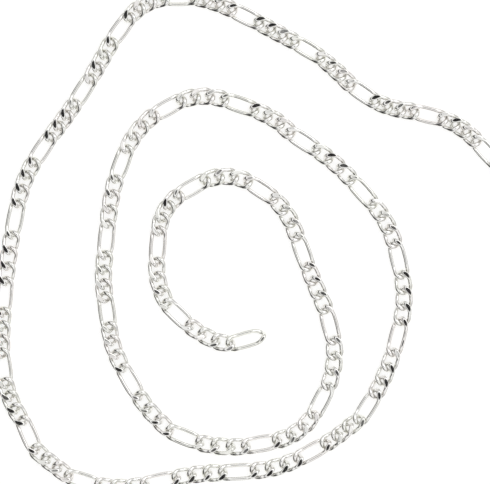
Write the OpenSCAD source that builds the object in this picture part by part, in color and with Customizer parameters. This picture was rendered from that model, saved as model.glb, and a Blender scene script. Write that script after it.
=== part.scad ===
// A figaro chain that lies loose in a flat spiral: one long link, then three short ones, over and over.
// Each link is an oval of round wire, twisted so that the chain lies flat, with its crests pressed level.
// Millimetres, +Z up. The origin is under the middle of the laid chain, on the surface that carries it.

/* [Links] */
// Thickness of the wire
wire_d = 1.05; // [0.85:0.05:1.15]
// Width over a link, across the chain
link_w = 4.5; // [4.2:0.1:4.7]
// Length over a short link
short_len = 6.3; // [6.1:0.1:7]
// Length over a long link
long_len = 10.3; // [9.5:0.1:12]

/* [Shaping] */
// Turn of the wire loop at each end of a link, from level, in degrees
end_twist = 55; // [54:1:58]
// Squareness of a link's ends: 2 is round, more is squarer
squareness = 2; // [1.9:0.1:2.4]
// Lean of every link about the chain's line, in degrees
lean = 16; // [8:1:18]
// Thickness of the chain between its pressed crests
press_h = 2.7; // [2.5:0.1:3]

/* [Assembly] */
// Play between the wires of two links where the chain is drawn out
play = 0.2; // [0.15:0.05:0.4]
// Repeats of the pattern in the inner half of the chain
inner_repeats = 19; // [15:1:23]

/* [Hidden] */

// Links in one repeat of the pattern: a long one and three short ones
REPEAT = 4;
// Turn between two cross-sections round a link's end, and the sides of a section
END_STEP = 45;
WIRE_SIDES = 5;
// Cross-sections round one end of a link, from bar to bar
END_SECTIONS = 180 / END_STEP + 1;
// Pieces that a stretch of the route is measured in
ROUTE_STEPS = 12;
// How the twist grows towards a link's end: with this power of the distance
TWIST_POWER = 1.5;

// Where the chain lies, in hundredths of a repeat drawn straight.
// Each row: the middle of a long link (x, y), then the middle of the second short link after it (x, y).
LAY = [
    [0, -120, -45, -116], [-83, -88, -106, -51], [-107, -5, -99, 37], [-67, 67, -24, 80],
    [19, 65, 51, 32], [68, -12, 85, -55], [103, -100, 107, -147], [92, -193, 63, -230],
    [19, -245, -28, -248], [-75, -237, -113, -209], [-140, -170, -161, -127], [-168, -85, -173, -43],
    [-169, 3, -164, 49], [-152, 95, -131, 135], [-96, 164, -53, 177], [-8, 167, 34, 149],
    [69, 123, 107, 96], [141, 61, 170, 24], [185, -20, 192, -68], [184, -115, 169, -160],
    [147, -200, 118, -230], [81, -254, 38, -273], [-9, -279, -56, -281], [-104, -290, -150, -298],
    [-198, -290, -234, -266], [-262, -233, -284, -194], [-295, -153, -296, -110], [-293, -67, -288, -20],
    [-280, 28, -269, 73], [-248, 112, -222, 147], [-198, 182, -176, 219], [-153, 258, -123, 288],
    [-81, 298, -40, 291], [-1, 274, 37, 254], [74, 234, 109, 208], [140, 179, 179, 162],
    [221, 155, 260, 139], [291, 110, 318, 77]];

// What lies out of line. Each row: a link's number, its roll in degrees,
// then how far the joint ahead of it lies to the left and up, in wire thicknesses.
ODD = [
    [0, 0, 0.8, 0], [1, 0, 0.4, 0], [4, 0, 0.4, 0], [36, 0, 0.4, 0], [63, 0, -0.4, 0], [96, 0, 0.5, 0],
    [97, 0, 0.4, 0], [98, 0, 0.7, 0], [99, 0, 1.1, 0], [100, 0, -0.3, 0],
    [42, 0, 0, 0.05], [43, 0, 0, 0.15], [44, -5, 0, 0.35], [45, -9, 0, 0.35], [46, -5, 0, 0.2], [47, 0, 0, 0.05],
    [79, 0, 0, 0.05], [80, 0, 0.5, 0.2], [81, 6, 0, 0.35], [82, 10, 0, 0.35], [83, 6, 0, 0.2], [84, 0, 0, 0.05],
    [102, 0, 0, 0.05], [103, 0, 0, 0.2], [104, -5, 0, 0.35], [105, -9, 0, 0.35], [106, -5, 0, 0.2],
    [107, 0, 0, 0.05],
    [134, 0, 0, 0.05], [135, 0, 0, 0.2], [136, 6, 0.2, 0.35], [137, 10, 0, 0.35], [138, 5, 0, 0.2],
    [139, 0, 0, 0.05]];

// How far the free end of the first link lies to the left, in wire thicknesses
FREE_END_LEFT = -1.4;

// Half the length and half the width of a wire loop, measured along the wire's middle
function loop_half(len) = (len - wire_d) / 2;
loop_side = (link_w - wire_d) / 2;
// Length of a link's end in which its wire loop turns out of level
twist_run = loop_half(short_len);

// Distance between a link's two joints when the chain is drawn out
function pitch_of(len) = len - 2 * wire_d - play;
short_pitch = pitch_of(short_len);
long_pitch = pitch_of(long_len);
half_repeat = (long_pitch + (REPEAT - 1) * short_pitch) / 2;
lay_unit = 2 * half_repeat / 100;

link_count = REPEAT * (len(LAY) - 1) + 2;
function len_of(i) = i % REPEAT == 0 ? long_len : short_len;

// The route: a smooth curve through the middles in LAY
stops = [for (row = LAY) for (k = [0, 2]) [row[k], row[k + 1]] * lay_unit];
stop_count = len(stops);
function stop(k) = k < 0 ? 2 * stops[0] - stops[1]
    : k >= stop_count ? 2 * stops[stop_count - 1] - stops[stop_count - 2]
    : stops[k];
function on_curve(a, b, c, d, t) = 0.5 * (2 * b + (c - a) * t
    + (2 * a - 5 * b + 4 * c - d) * t * t + (3 * b - a - 3 * c + d) * t * t * t);
function on_route(k, t) = on_curve(stop(k - 1), stop(k), stop(k + 1), stop(k + 2), t);

// Length of stretch k of the route up to each of its steps, against the step's share of the stretch
function stretch_steps(k) = [for (j = [0:ROUTE_STEPS]) on_route(k, j / ROUTE_STEPS)];
function run_lengths(p, j = 0, s = 0) = j >= len(p) ? []
    : let (here = j == 0 ? 0 : s + norm(p[j] - p[j - 1]))
        concat([[here, j / ROUTE_STEPS]], run_lengths(p, j + 1, here));

// A stretch is half a repeat and holds two joints, which share evenly what it is short of when drawn out.
// Joint n of stretch k, where a drawn chain would have it at the distance given
function joint_on(k, n, drawn) =
    let (runs = run_lengths(stretch_steps(k)), slack = (half_repeat - runs[ROUTE_STEPS][0]) / 2)
        on_route(k, lookup(drawn - (n + 0.5) * slack, runs));

// Joint i lies between link i and link i + 1
function joint(i) =
    let (row = floor(i / REPEAT), k = i % REPEAT)
        k == 0 ? joint_on(2 * row, 0, long_pitch / 2)
        : k == 1 ? joint_on(2 * row, 1, long_pitch / 2 + short_pitch)
        : k == 2 ? joint_on(2 * row + 1, 0, short_pitch / 2)
        : joint_on(2 * row + 1, 1, 3 * short_pitch / 2);
plain_joints = [for (i = [0:link_count - 1]) joint(i)];
function odd(i) = let (rows = [for (row = ODD) if (row[0] == i) row]) len(rows) > 0 ? rows[0] : [i, 0, 0, 0];
function left_of(v) = [-v.y, v.x] / norm(v);
function joint_behind(i) = i == 0 ? 2 * stops[0] - plain_joints[0] : plain_joints[i - 1];
function moved_left(i, from, wires) = from + wires * wire_d * left_of(plain_joints[i] - joint_behind(i));
joints = [for (i = [0:link_count - 1])
    let (row = odd(i), at = moved_left(i, plain_joints[i], row[2]))
        [at.x, at.y, row[3] * wire_d]];
free_end = moved_left(0, joint_behind(0), FREE_END_LEFT);
function start_of(i) = i > 0 ? joints[i - 1] : [free_end.x, free_end.y, 0];

// Turns of a point about the three axes
function roll(p, a) = [p.x, p.y * cos(a) - p.z * sin(a), p.y * sin(a) + p.z * cos(a)];
function pitch(p, a) = [p.x * cos(a) + p.z * sin(a), p.y, p.z * cos(a) - p.x * sin(a)];
function yaw(p, a) = [p.x * cos(a) - p.y * sin(a), p.x * sin(a) + p.y * cos(a), p.z];

// A wire loop along X: the middle of the wire at each cross-section, and the way out of the loop there.
// Its ends are turned out of level, and the press has spread them back to their full width
section_count = 2 * END_SECTIONS;
function end_of(k) = k < END_SECTIONS ? 1 : -1;
function angle_of(k) = end_of(k) * 90 - 180 + END_STEP * (k % END_SECTIONS)
    + (end_of(k) < 0 ? 360 : 0);
function twist_at(x, half) =
    -end_twist * sign(x) * pow(max(0, abs(x) - half + twist_run) / twist_run, TWIST_POWER);
function squared(v) = sign(v) * pow(abs(v), 2 / squareness);
function loop_x(a, k, half) = end_of(k) * (half - loop_side) + loop_side * squared(cos(a));
function loop_point(k, half) =
    let (a = angle_of(k), x = loop_x(a, k, half), y = loop_side * squared(sin(a)))
        [x, y, y * tan(twist_at(x, half))];
function loop_outward(k, half) =
    let (a = angle_of(k), x = loop_x(a, k, half))
        [cos(a), sin(a), sin(a) * tan(twist_at(x, half))];

// Corners of one link as it is made, lying along X: twisted, leaned and pressed
function unit(v) = v / norm(v);
function section(k, half) =
    let (
        n = section_count,
        middle = loop_point(k, half),
        along = unit(loop_point((k + 1) % n, half) - loop_point((k + n - 1) % n, half)),
        raw = loop_outward(k, half),
        out = unit(raw - (raw * along) * along),
        up = cross(along, out)
    ) [for (j = [0:WIRE_SIDES - 1])
        middle + wire_d / 2 * (cos(360 * j / WIRE_SIDES) * out + sin(360 * j / WIRE_SIDES) * up)];
function pressed(p) = [p.x, p.y, min(press_h / 2, max(-press_h / 2, p.z))];
function link_form(len) = [
    for (k = [0:section_count - 1])
        for (p = section(k, loop_half(len)))
            pressed(roll(p, lean))];
short_form = link_form(short_len);
long_form = link_form(long_len);

// Corners of link i where it lies, between its two joints
function link_points(i) =
    let (
        line = joints[i] - start_of(i),
        middle = (joints[i] + start_of(i)) / 2,
        climb = atan2(line.z, norm([line.x, line.y])),
        heading = atan2(line.y, line.x)
    ) [for (p = i % REPEAT == 0 ? long_form : short_form)
        yaw(pitch(roll(p, odd(i)[1]), -climb), heading) + middle];
all_links = [for (i = [0:link_count - 1]) link_points(i)];

// The middle of the laid chain, which goes to the origin
function lowest(axis) = min([for (corners = all_links) for (p = corners) p[axis]]);
function highest(axis) = max([for (corners = all_links) for (p = corners) p[axis]]);
chain_middle = [(lowest(0) + highest(0)) / 2, (lowest(1) + highest(1)) / 2, lowest(2)];

// Faces of a link: each four-cornered stretch of wall is two triangles
link_faces = [
    for (k = [0:section_count - 1])
        for (j = [0:WIRE_SIDES - 1])
            let (
                next_k = (k + 1) % section_count,
                next_j = (j + 1) % WIRE_SIDES,
                a = k * WIRE_SIDES + j,
                b = k * WIRE_SIDES + next_j,
                c = next_k * WIRE_SIDES + next_j,
                d = next_k * WIRE_SIDES + j
            )
                each [[a, c, b], [a, d, c]]];

module links(first, last) {
    translate(-chain_middle)
        for (i = [first:last])
            polyhedron(points = all_links[i], faces = link_faces);
}

module inner_chain() {
    color("silver")
        links(0, REPEAT * inner_repeats - 1);
}

module outer_chain() {
    color("gainsboro")
        links(REPEAT * inner_repeats, link_count - 1);
}

inner_chain();
outer_chain();
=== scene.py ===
"""A figaro chain that lies in a loose flat spiral on a pale surface, seen from straight above."""
import math

import bpy
import numpy as np
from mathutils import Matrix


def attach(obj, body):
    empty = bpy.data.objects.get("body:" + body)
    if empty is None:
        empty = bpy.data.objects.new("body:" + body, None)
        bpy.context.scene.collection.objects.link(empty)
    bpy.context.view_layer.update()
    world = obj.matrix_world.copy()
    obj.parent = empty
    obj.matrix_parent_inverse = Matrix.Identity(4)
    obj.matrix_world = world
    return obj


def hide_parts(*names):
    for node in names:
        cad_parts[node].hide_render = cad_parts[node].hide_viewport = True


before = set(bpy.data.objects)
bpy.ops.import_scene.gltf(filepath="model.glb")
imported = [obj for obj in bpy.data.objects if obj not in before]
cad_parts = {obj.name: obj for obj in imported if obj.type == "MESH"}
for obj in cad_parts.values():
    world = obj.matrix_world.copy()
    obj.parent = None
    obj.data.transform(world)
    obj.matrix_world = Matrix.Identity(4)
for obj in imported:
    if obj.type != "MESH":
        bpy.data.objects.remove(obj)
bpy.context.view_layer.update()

# Sizes of the chain in millimetres, and its angles in degrees, the same as in the part's source
WIRE_D = 1.05
LINK_W = 4.5
SHORT_LEN = 6.3
LONG_LEN = 10.3
END_TWIST = 55.0
TWIST_POWER = 1.5
SQUARENESS = 2.0
LEAN = 16.0
PRESS_H = 2.7
PLAY = 0.2
INNER_REPEATS = 19

# Links in a repeat, the long one first, and steps by which the route is measured from stop to stop
REPEAT = 4
ROUTE_STEPS = 12

# A millimetre in metres
MM = 0.001

# Where the chain lies, in hundredths of a repeat drawn straight: each row is the middle of a long link
# (x, y), then the middle of the second short link after it (x, y)
LAY = [
    [0, -120, -45, -116], [-83, -88, -106, -51], [-107, -5, -99, 37], [-67, 67, -24, 80],
    [19, 65, 51, 32], [68, -12, 85, -55], [103, -100, 107, -147], [92, -193, 63, -230],
    [19, -245, -28, -248], [-75, -237, -113, -209], [-140, -170, -161, -127], [-168, -85, -173, -43],
    [-169, 3, -164, 49], [-152, 95, -131, 135], [-96, 164, -53, 177], [-8, 167, 34, 149],
    [69, 123, 107, 96], [141, 61, 170, 24], [185, -20, 192, -68], [184, -115, 169, -160],
    [147, -200, 118, -230], [81, -254, 38, -273], [-9, -279, -56, -281], [-104, -290, -150, -298],
    [-198, -290, -234, -266], [-262, -233, -284, -194], [-295, -153, -296, -110], [-293, -67, -288, -20],
    [-280, 28, -269, 73], [-248, 112, -222, 147], [-198, 182, -176, 219], [-153, 258, -123, 288],
    [-81, 298, -40, 291], [-1, 274, 37, 254], [74, 234, 109, 208], [140, 179, 179, 162],
    [221, 155, 260, 139], [291, 110, 318, 77]]

# What lies out of line: a link's number, its roll in degrees, and how far the joint ahead of it lies
# to the left and up, in wire thicknesses
ODD = [
    [0, 0, 0.8, 0], [1, 0, 0.4, 0], [4, 0, 0.4, 0], [36, 0, 0.4, 0], [63, 0, -0.4, 0], [96, 0, 0.5, 0],
    [97, 0, 0.4, 0], [98, 0, 0.7, 0], [99, 0, 1.1, 0], [100, 0, -0.3, 0],
    [42, 0, 0, 0.05], [43, 0, 0, 0.15], [44, -5, 0, 0.35], [45, -9, 0, 0.35], [46, -5, 0, 0.2],
    [47, 0, 0, 0.05],
    [79, 0, 0, 0.05], [80, 0, 0.5, 0.2], [81, 6, 0, 0.35], [82, 10, 0, 0.35], [83, 6, 0, 0.2],
    [84, 0, 0, 0.05],
    [102, 0, 0, 0.05], [103, 0, 0, 0.2], [104, -5, 0, 0.35], [105, -9, 0, 0.35], [106, -5, 0, 0.2],
    [107, 0, 0, 0.05],
    [134, 0, 0, 0.05], [135, 0, 0, 0.2], [136, 6, 0.2, 0.35], [137, 10, 0, 0.35], [138, 5, 0, 0.2],
    [139, 0, 0, 0.05]]

# How far the free end of the first link lies to the left, in wire thicknesses
FREE_END_LEFT = -1.4

# How far the crest pressed at a link's back end lies out of level, in degrees, from the link given up to
# the next row's. The level ones mirror the dark place straight above.
OUT_OF_LEVEL = [
    (0, 8), (2, 2), (3, 8), (6, 2), (7, 8), (11, 0.6), (12, 8), (21, 3), (23, 8), (31, 3), (32, 1),
    (33, 8), (35, 3), (36, 8), (37, 3), (39, 8), (41, 1.5), (42, 8), (45, 0.6), (47, 8), (61, 0.6),
    (62, 6), (66, 1.5), (68, 8), (71, 2), (73, 0.6), (77, 4), (78, 0.6), (81, 8), (84, 0.6), (90, 3),
    (91, 0.6), (93, 6), (100, 0.6), (112, 4), (113, 0.6), (120, 6), (122, 0.6), (123, 6), (124, 0.6),
    (126, 6), (132, 0.6), (136, 5), (141, 1), (142, 6), (146, 1), (147, 6)]

# The same for the crest at a link's front end, and how far both differ by chance, as a share
FRONT_OUT_OF_LEVEL = 8
LEVEL_SPREAD = 0.6

# How far from its crest the slope of a press goes on, and how far its depth differs by chance,
# in millimetres
PRESS_REACH = 1.3
PRESS_SPREAD = 0.03

# A crest that is meant to lie less than so many degrees out of level is pressed so many millimetres deeper
LEVEL_WITHIN = 2
DEEPER = 0.12

# The first link's seed for chance. Each next link's is one higher.
SEED = 100

# How much of a link's end is turned rather than sheared, and how far the press spreads the wire there,
# both as shares
TURNED = 0.9
SPREAD = 0.16

# How much narrower the bars of a long link stand at their ends than in the middle, as a share
BOW = 0.08

# Fineness of the links that are seen, and of plain ones such as the part's source has: cross-sections
# round an end and along a bar, and sides of the wire. Then how soft the pressed edges are, in millimetres.
END_STATIONS, BAR_STATIONS, SIDES = 25, 12, 17
PLAIN_FINENESS = 5, 0, 5
EDGE_SOFTNESS = 0.035

# Silver plate: its tints from 0 to 1, how far a link's tint lies from the last one's, and the veil's tint
TINTS = [(0.0, (0.875, 0.875, 0.83)), (0.5, (0.89, 0.885, 0.865)), (1.0, (0.9, 0.875, 0.855))]
TINT_STEP = 0.618034
VEIL = (0.85, 0.825, 0.75)

# Patterns: repeats to a metre, and detail
CLOUDS = 900, 3
GRAIN = 5200, 5
SCRATCHES = 2600, 2

# How the scratches are drawn out along each axis, and turned, in radians
SCRATCH_DRAWN = (1, 7, 2)
SCRATCH_TURNED = (0.3, 0.2, 0.8)

# What the patterns do: between which two values, and from what to what
VEIL_BETWEEN, VEIL_SHARE = (0.52, 0.75), (0.0, 0.5)
ROUGH_BETWEEN, ROUGHNESS = (0.3, 0.7), (0.06, 0.14)

# Relief of the dents and of the scratches: strength, and height in metres
DENT_RELIEF = 0.12, 0.00004
SCRATCH_RELIEF = 0.12, 0.00001

# Painted shade where links meet, the base colour darkened where other wires are near: how near another
# wire is for it to show, in metres, rays to find that, between which shares of open sky it comes in, and
# the tone that is left where it is full and where there is none
NOOK_DEPTH = 0.0012
NOOK_RAYS = 8
NOOK_BETWEEN, NOOK_SHADE_TONE = (0.25, 0.65), (0.9, 1.0)

# The pale surface: how much of the light on it comes back, how far it shines of itself and in which tint,
# its roughness and gloss, how far it reaches, and how far below the chain it lies, in metres
FLOOR_TONE = 0.45
FLOOR_GLOW = 0.725
FLOOR_TINT = (1.0, 1.0, 0.995)
FLOOR_ROUGHNESS = 0.9
FLOOR_GLOSS = 0.1
FLOOR_REACH = 1.5
FLOOR_DROP = 0.00002

# The picture: millimetres to a pixel (a repeat of 20 mm spans 82.5), its width in pixels, and where its
# middle lies from the route's own zero
PIXEL = 20 / 82.5
PICTURE_W = 490
PICTURE_MIDDLE = (-1 * PIXEL, 0.0)

# The camera: its height above the level at which the picture's scale holds, that level and the nearest and
# furthest things seen, in metres, and the width of its sensor, in millimetres
CAMERA_HEIGHT = 2.5
SCALE_LEVEL = 0.001
CAMERA_CLIP = 0.05, 20
SENSOR_W = 36

# Light from all round by height, from 0 at the horizon to 1 straight above, in the east and in the west:
# pale, with a darker band low down, which is darkest in the west, and a small dark disc straight above
EAST = [(0.0, 0.42), (0.15, 0.42), (0.4, 0.62), (0.62, 0.88), (0.8, 0.94), (0.92, 0.88), (0.98, 0.7),
        (0.9962, 0.02), (1.0, 0.01)]
WEST = [(0.0, 0.12), (0.2, 0.04), (0.45, 0.04), (0.64, 0.2), (0.8, 0.73), (0.9, 0.86), (0.98, 0.7),
        (0.9962, 0.02), (1.0, 0.01)]
SKY_STRENGTH = 1.11

# Which way west is, and how far that way its light begins and is full
WEST_X, WEST_Y = -0.95, -0.3
WEST_BETWEEN = (0.28, 0.6)

# The lamp: width in metres, power in watts, place in metres, and turn in degrees
LAMP_SIZE = 1.2
LAMP_POWER = 3
LAMP_PLACE = (0.9, 0.9, 1.3)
LAMP_TURN = (44, 0, 135)


# The route and its joints

def loop_half(length):
    return (length - WIRE_D) / 2


LOOP_SIDE = (LINK_W - WIRE_D) / 2
TWIST_RUN = loop_half(SHORT_LEN)
SHORT_PITCH = SHORT_LEN - 2 * WIRE_D - PLAY
LONG_PITCH = LONG_LEN - 2 * WIRE_D - PLAY
HALF_REPEAT = (LONG_PITCH + (REPEAT - 1) * SHORT_PITCH) / 2
LINK_COUNT = REPEAT * (len(LAY) - 1) + 2
STOPS = np.array(LAY, float).reshape(-1, 2) * 2 * HALF_REPEAT / 100


def stop(k):
    """The route's stop k, or where one would be past either end."""
    last = len(STOPS) - 1
    if k < 0:
        return 2 * STOPS[0] - STOPS[1]
    if k > last:
        return 2 * STOPS[last] - STOPS[last - 1]
    return STOPS[k]


def on_route(k, t):
    """Place between stops k and k + 1, t of the way, on a smooth curve through all stops."""
    a, b, c, d = stop(k - 1), stop(k), stop(k + 1), stop(k + 2)
    return 0.5 * (2 * b + (c - a) * t + (2 * a - 5 * b + 4 * c - d) * t ** 2
                  + (3 * b - a - 3 * c + d) * t ** 3)


def joint_on(k, n, drawn):
    """Joint n after stop k, the distance drawn from it in a straight chain, with the slack shared out."""
    steps = np.array([on_route(k, j / ROUTE_STEPS) for j in range(ROUTE_STEPS + 1)])
    runs = np.concatenate([[0], np.cumsum(np.linalg.norm(np.diff(steps, axis=0), axis=1))])
    slack = (HALF_REPEAT - runs[-1]) / 2
    shares = np.linspace(0, 1, ROUTE_STEPS + 1)
    return on_route(k, float(np.interp(drawn - (n + 0.5) * slack, runs, shares)))


def plain_joint(i):
    """The joint between links i and i + 1, before anything is moved out of line."""
    row, k = divmod(i, REPEAT)
    part, n = divmod(k, 2)
    first = (SHORT_PITCH if part else LONG_PITCH) / 2
    return joint_on(2 * row + part, n, first + n * SHORT_PITCH)


PLAIN = [plain_joint(i) for i in range(LINK_COUNT)]
FIRST = 2 * STOPS[0] - PLAIN[0]
OUT_OF_LINE = {row[0]: row[1:] for row in ODD}


def moved_left(i, start, wires):
    """A place moved to the left of link i's line by so many wire thicknesses."""
    line = PLAIN[i] - (PLAIN[i - 1] if i else FIRST)
    return start + wires * WIRE_D * np.array([-line[1], line[0]]) / np.linalg.norm(line)


def joint(i):
    left, up = OUT_OF_LINE.get(i, [0, 0, 0])[1:]
    return np.append(moved_left(i, PLAIN[i], left), up * WIRE_D)


JOINTS = [joint(i) for i in range(LINK_COUNT)]
FREE_END = np.append(moved_left(0, FIRST, FREE_END_LEFT), 0.0)


# The form of a link

def roll(p, degrees):
    a = np.radians(degrees)
    return np.stack([p[..., 0], p[..., 1] * np.cos(a) - p[..., 2] * np.sin(a),
                     p[..., 1] * np.sin(a) + p[..., 2] * np.cos(a)], axis=-1)


def pitch(p, degrees):
    a = math.radians(degrees)
    return np.stack([p[..., 0] * math.cos(a) + p[..., 2] * math.sin(a), p[..., 1],
                     p[..., 2] * math.cos(a) - p[..., 0] * math.sin(a)], axis=-1)


def yaw(p, degrees):
    a = math.radians(degrees)
    return np.stack([p[..., 0] * math.cos(a) - p[..., 1] * math.sin(a),
                     p[..., 0] * math.sin(a) + p[..., 1] * math.cos(a), p[..., 2]], axis=-1)


def unit(v):
    return v / np.linalg.norm(v, axis=-1, keepdims=True)


def twist_at(x, half):
    """Twist of the loop at x, in degrees: none along a long link's middle, and full at its ends."""
    reach = np.maximum(0, np.abs(x) - half + TWIST_RUN) / TWIST_RUN
    return -END_TWIST * np.sign(x) * reach ** TWIST_POWER


def loop(half, end_stations, bar_stations):
    """Flat loop: places and outward directions, round one end, along a bar, round the other and back."""
    straight = half - LOOP_SIDE
    n = SQUARENESS
    x, y, ox, oy = [], [], [], []
    for end in (1, -1):
        for a in np.linspace(-np.pi / 2, np.pi / 2, end_stations):
            c, d = math.cos(a), math.sin(a)
            reach = (abs(c) ** n + abs(d) ** n) ** (-1 / n)
            x.append(end * (straight + LOOP_SIDE * reach * c))
            y.append(end * LOOP_SIDE * reach * d)
            ox.append(end * abs(c) ** (n - 1))
            oy.append(end * math.copysign(abs(d) ** (n - 1), d))
        for s in range(1, bar_stations + 1):
            x.append(end * straight * (1 - 2 * s / (bar_stations + 1)))
            y.append(end * LOOP_SIDE)
            ox.append(0.0)
            oy.append(float(end))
    zero = np.zeros(len(x))
    return np.stack([x, y, zero], axis=-1), np.stack([ox, oy, zero], axis=-1)


def bowed(x, half):
    """Share of its width that the loop has at x. Only long links are bowed."""
    bow = BOW if half > TWIST_RUN else 0
    return 1 - bow * np.minimum(1, np.abs(x) / (half - LOOP_SIDE)) ** 2


def soft_least(a, b, soft):
    """The lower of two heights, with a rounded change between them."""
    if not soft:
        return np.minimum(a, b)
    return b - soft * np.logaddexp(0, (b - a) / soft)


def link_form(length, end_stations, bar_stations, sides, soft, presses=((0, 0, 0), (0, 0, 0))):
    """Points of one link along X. Each press, back and front, has two slopes and an extra depth."""
    half = loop_half(length)
    flat, outward = loop(half, end_stations, bar_stations)
    turn = np.radians(twist_at(flat[:, 0], half))
    flat[:, 1] *= bowed(flat[:, 0], half)
    across, rise = np.cos(turn) ** TURNED, np.sin(turn) / np.cos(turn) ** (1 - TURNED)
    middle = np.stack([flat[:, 0], flat[:, 1] * across, flat[:, 1] * rise], axis=-1)
    raw = np.stack([outward[:, 0], outward[:, 1] * across, outward[:, 1] * rise], axis=-1)
    wide = 1 + SPREAD * np.abs(turn)[:, None, None] / math.radians(END_TWIST)
    along = unit(np.roll(middle, -1, axis=0) - np.roll(middle, 1, axis=0))
    out = unit(raw - np.sum(raw * along, axis=-1, keepdims=True) * along)
    up = np.cross(along, out)
    a = np.linspace(0, 2 * np.pi, sides, endpoint=False)
    p = middle[:, None] + WIRE_D / 2 * (wide * np.cos(a)[None, :, None] * out[:, None]
                                        + np.sin(a)[None, :, None] * up[:, None])
    p = roll(p, LEAN)
    top = PRESS_H / 2
    press = np.zeros(p.shape[:2])
    for part, (slope_x, slope_y, deeper) in zip((p[..., 0] < 0, p[..., 0] >= 0), presses):
        crest = p[part][np.argmax(p[part][:, 2])]
        off = np.clip(p[part][:, :2] - crest[:2], -PRESS_REACH, PRESS_REACH)
        press[part] = top - deeper + slope_x * off[:, 0] + slope_y * off[:, 1]
    z = -soft_least(-soft_least(p[..., 2], press, soft), top, soft)
    return np.concatenate([p[..., :2], z[..., None]], axis=-1)


def placed(i, form):
    """Points of a link, moved between its two joints."""
    back = JOINTS[i - 1] if i else FREE_END
    line = JOINTS[i] - back
    climb = math.degrees(math.atan2(line[2], math.hypot(line[0], line[1])))
    heading = math.degrees(math.atan2(line[1], line[0]))
    return yaw(pitch(roll(form, OUT_OF_LINE.get(i, [0])[0]), -climb), heading) + (JOINTS[i] + back) / 2


def length_of(i):
    return LONG_LEN if i % REPEAT == 0 else SHORT_LEN


def pressing(i):
    """Slopes and extra depth of a link's upper pressed crests, the back one first."""
    chance = np.random.default_rng(SEED + i)
    back_tilt = [degrees for first, degrees in OUT_OF_LEVEL if i >= first][-1]
    back_deeper = DEEPER if back_tilt < LEVEL_WITHIN else 0
    presses = []
    for tilt, deeper in ((back_tilt, back_deeper), (FRONT_OUT_OF_LEVEL, 0)):
        slope = math.tan(math.radians(tilt * (1 + LEVEL_SPREAD * np.clip(chance.normal(), -1, 1))))
        way = chance.uniform(0, 2 * math.pi)
        depth = deeper + PRESS_SPREAD * abs(chance.normal())
        presses.append((slope * math.cos(way), slope * math.sin(way), depth))
    return presses


# The middle of the laid chain, from links as plain as those in the part's source
PLAIN_FORMS = {length: link_form(length, *PLAIN_FINENESS, 0) for length in (SHORT_LEN, LONG_LEN)}
CORNERS = np.concatenate([placed(i, PLAIN_FORMS[length_of(i)]).reshape(-1, 3) for i in range(LINK_COUNT)])
MIDDLE = np.array([(CORNERS[:, 0].min() + CORNERS[:, 0].max()) / 2,
                   (CORNERS[:, 1].min() + CORNERS[:, 1].max()) / 2, CORNERS[:, 2].min()])


def chain_piece(name, first, last, material):
    """One mesh of the links from first to last, with each link's own tone on its points."""
    rings = 2 * (END_STATIONS + BAR_STATIONS)
    k = np.arange(rings)[:, None]
    j = np.arange(SIDES)[None, :]
    a = k * SIDES + j
    b = k * SIDES + (j + 1) % SIDES
    c = (k + 1) % rings * SIDES + (j + 1) % SIDES
    d = (k + 1) % rings * SIDES + j
    one = np.stack([a, b, c, d], axis=-1).reshape(-1, 4)
    points, faces, tones = [], [], []
    for n, i in enumerate(range(first, last + 1)):
        form = link_form(length_of(i), END_STATIONS, BAR_STATIONS, SIDES, EDGE_SOFTNESS, pressing(i))
        points.append((placed(i, form).reshape(-1, 3) - MIDDLE) * MM)
        faces.append(one + n * rings * SIDES)
        tones.append(np.full(rings * SIDES, (i * TINT_STEP) % 1))
    mesh = bpy.data.meshes.new(name)
    mesh.from_pydata(np.concatenate(points).tolist(), [], np.concatenate(faces).tolist())
    mesh.update()
    mesh.shade_smooth()
    tone = mesh.attributes.new("link_tone", "FLOAT", "POINT")
    tone.data.foreach_set("value", np.concatenate(tones))
    mesh.materials.append(material)
    obj = bpy.data.objects.new(name, mesh)
    bpy.context.scene.collection.objects.link(obj)
    return obj


# Nodes, for the materials and the light

def tree_of(owner):
    """The empty node tree of a material or world."""
    owner.use_nodes = True
    owner.node_tree.nodes.clear()
    return owner.node_tree


def add(tree, kind, inputs=(), **settings):
    """A new node with its settings, and each named input set to a value or linked to an output."""
    node = tree.nodes.new(kind)
    for name, value in settings.items():
        setattr(node, name, value)
    for name, value in dict(inputs).items():
        if isinstance(value, bpy.types.NodeSocket):
            tree.links.new(value, node.inputs[name])
        else:
            node.inputs[name].default_value = value
    return node


def noise(tree, place, pattern):
    scale, detail = pattern
    inputs = {"Vector": place, "Scale": scale, "Detail": detail}
    return add(tree, "ShaderNodeTexNoise", inputs).outputs["Fac"]


def changed(tree, value, between, result, **settings):
    """A value between two values, changed to one between two others."""
    inputs = {"Value": value, "From Min": between[0], "From Max": between[1],
              "To Min": result[0], "To Max": result[1]}
    return add(tree, "ShaderNodeMapRange", inputs, **settings).outputs["Result"]


def mixed(tree, share, a, b, **settings):
    inputs = {"Factor": share, "A": a, "B": b}
    return add(tree, "ShaderNodeMix", inputs, data_type="RGBA", **settings).outputs["Result"]


def ramp(tree, value, stops, interpolation="LINEAR"):
    """Colours by value. The stops are sorted, the first is at 0 and the last at 1."""
    node = add(tree, "ShaderNodeValToRGB", {"Fac": value})
    node.color_ramp.interpolation = interpolation
    marks = node.color_ramp.elements
    for stop_at, _ in stops[1:-1]:
        marks.new(stop_at)
    for mark, (_, colour) in zip(marks, stops):
        mark.color = (*colour, 1)
    return node.outputs["Color"]


def bump(tree, height, relief, **inputs):
    strength, distance = relief
    inputs = {"Strength": strength, "Distance": distance, "Height": height, **inputs}
    return add(tree, "ShaderNodeBump", inputs).outputs["Normal"]


def computed(tree, operation, a, b):
    return add(tree, "ShaderNodeMath", {0: a, 1: b}, operation=operation).outputs["Value"]


# Materials

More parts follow.
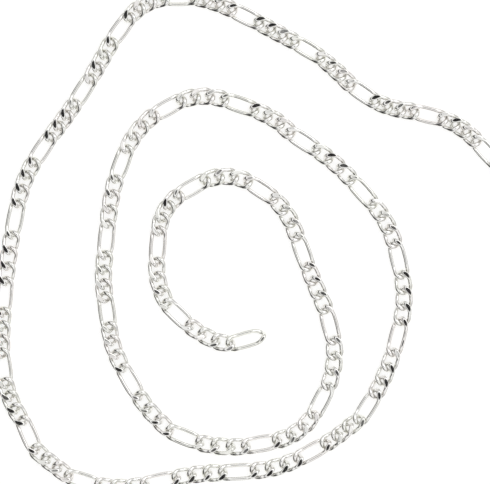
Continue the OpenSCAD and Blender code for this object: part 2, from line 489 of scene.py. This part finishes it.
def silver_plate():
    """Polished silver plate: near white, with a faint tint from link to link, a warm veil in places,
    painted shade where links meet, fine scratches and soft dents."""
    material = bpy.data.materials.new("silver_plate")
    tree = tree_of(material)
    place = add(tree, "ShaderNodeTexCoord").outputs["Object"]
    clouds = noise(tree, place, CLOUDS)

    tone = add(tree, "ShaderNodeAttribute", attribute_name="link_tone").outputs["Fac"]
    veil_share = changed(tree, clouds, VEIL_BETWEEN, VEIL_SHARE)
    veiled = mixed(tree, veil_share, ramp(tree, tone, TINTS), (*VEIL, 1))
    # Painted shade: the base colour is darkened where other wires are near, in the crossings between links
    nook = add(tree, "ShaderNodeAmbientOcclusion", {"Distance": NOOK_DEPTH}, samples=NOOK_RAYS)
    painted_nook_shade = changed(tree, nook.outputs["AO"], NOOK_BETWEEN, NOOK_SHADE_TONE)
    colour = mixed(tree, 1.0, veiled, painted_nook_shade, blend_type="MULTIPLY")

    roughness = changed(tree, noise(tree, place, GRAIN), ROUGH_BETWEEN, ROUGHNESS)

    drawn = add(tree, "ShaderNodeMapping",
                {"Vector": place, "Scale": SCRATCH_DRAWN, "Rotation": SCRATCH_TURNED}).outputs["Vector"]
    dents = bump(tree, clouds, DENT_RELIEF)
    relief = bump(tree, noise(tree, drawn, SCRATCHES), SCRATCH_RELIEF, Normal=dents)

    shader = add(tree, "ShaderNodeBsdfPrincipled",
                 {"Metallic": 1.0, "Base Color": colour, "Roughness": roughness, "Normal": relief})
    add(tree, "ShaderNodeOutputMaterial", {"Surface": shader.outputs["BSDF"]})
    return material


def pale_floor():
    material = bpy.data.materials.new("pale_floor")
    tree = tree_of(material)
    shader = add(tree, "ShaderNodeBsdfPrincipled", {
        "Base Color": (FLOOR_TONE, FLOOR_TONE, FLOOR_TONE, 1),
        "Roughness": FLOOR_ROUGHNESS, "Specular IOR Level": FLOOR_GLOSS,
        "Emission Color": (*FLOOR_TINT, 1), "Emission Strength": FLOOR_GLOW})
    add(tree, "ShaderNodeOutputMaterial", {"Surface": shader.outputs["BSDF"]})
    return material


# The chain
silver = silver_plate()
split = REPEAT * INNER_REPEATS
inner = chain_piece("inner_chain_links", 0, split - 1, silver)
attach(inner, "root")
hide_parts("inner_chain")
outer = chain_piece("outer_chain_links", split, LINK_COUNT - 1, silver)
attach(outer, "root")
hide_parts("outer_chain")

# The floor
floor_mesh = bpy.data.meshes.new("floor")
corners = [(x * FLOOR_REACH, y * FLOOR_REACH, 0) for x, y in ((-1, -1), (1, -1), (1, 1), (-1, 1))]
floor_mesh.from_pydata(corners, [], [(0, 1, 2, 3)])
floor_mesh.materials.append(pale_floor())
floor = bpy.data.objects.new("floor", floor_mesh)
floor.location.z = -FLOOR_DROP
bpy.context.scene.collection.objects.link(floor)

# The camera looks straight down
lens = bpy.data.cameras.new("camera")
camera = bpy.data.objects.new("camera", lens)
bpy.context.scene.collection.objects.link(camera)
lens.sensor_fit = "HORIZONTAL"
lens.sensor_width = SENSOR_W
lens.lens = SENSOR_W * CAMERA_HEIGHT / (PICTURE_W * PIXEL * MM)
lens.clip_start, lens.clip_end = CAMERA_CLIP
camera.location = ((PICTURE_MIDDLE[0] - MIDDLE[0]) * MM, (PICTURE_MIDDLE[1] - MIDDLE[1]) * MM,
                   CAMERA_HEIGHT + SCALE_LEVEL)
camera.rotation_euler = (0, 0, 0)
bpy.context.scene.camera = camera

# Soft light from all round
world = bpy.data.worlds.new("studio")
bpy.context.scene.world = world
sky = tree_of(world)
direction = add(sky, "ShaderNodeTexCoord").outputs["Generated"]
axes = add(sky, "ShaderNodeSeparateXYZ", {"Vector": direction}).outputs
westward = computed(sky, "ADD", computed(sky, "MULTIPLY", axes["X"], WEST_X),
                    computed(sky, "MULTIPLY", axes["Y"], WEST_Y))
west = changed(sky, westward, WEST_BETWEEN, (0, 1), interpolation_type="SMOOTHSTEP")
east_light, west_light = [
    ramp(sky, axes["Z"], [(height, (level,) * 3) for height, level in stops], "EASE")
    for stops in (EAST, WEST)]
light = add(sky, "ShaderNodeBackground",
            {"Color": mixed(sky, west, east_light, west_light), "Strength": SKY_STRENGTH})
add(sky, "ShaderNodeOutputWorld", {"Surface": light.outputs["Background"]})

# A large soft lamp from the upper right
lamp_data = bpy.data.lights.new("soft_lamp", "AREA")
lamp_data.shape = "DISK"
lamp_data.size = LAMP_SIZE
lamp_data.energy = LAMP_POWER
lamp = bpy.data.objects.new("soft_lamp", lamp_data)
bpy.context.scene.collection.objects.link(lamp)
lamp.location = LAMP_PLACE
lamp.rotation_euler = [math.radians(degrees) for degrees in LAMP_TURN]

view = bpy.context.scene.view_settings
view.view_transform = "Standard"
view.look = "None"
view.exposure = 0
view.gamma = 1
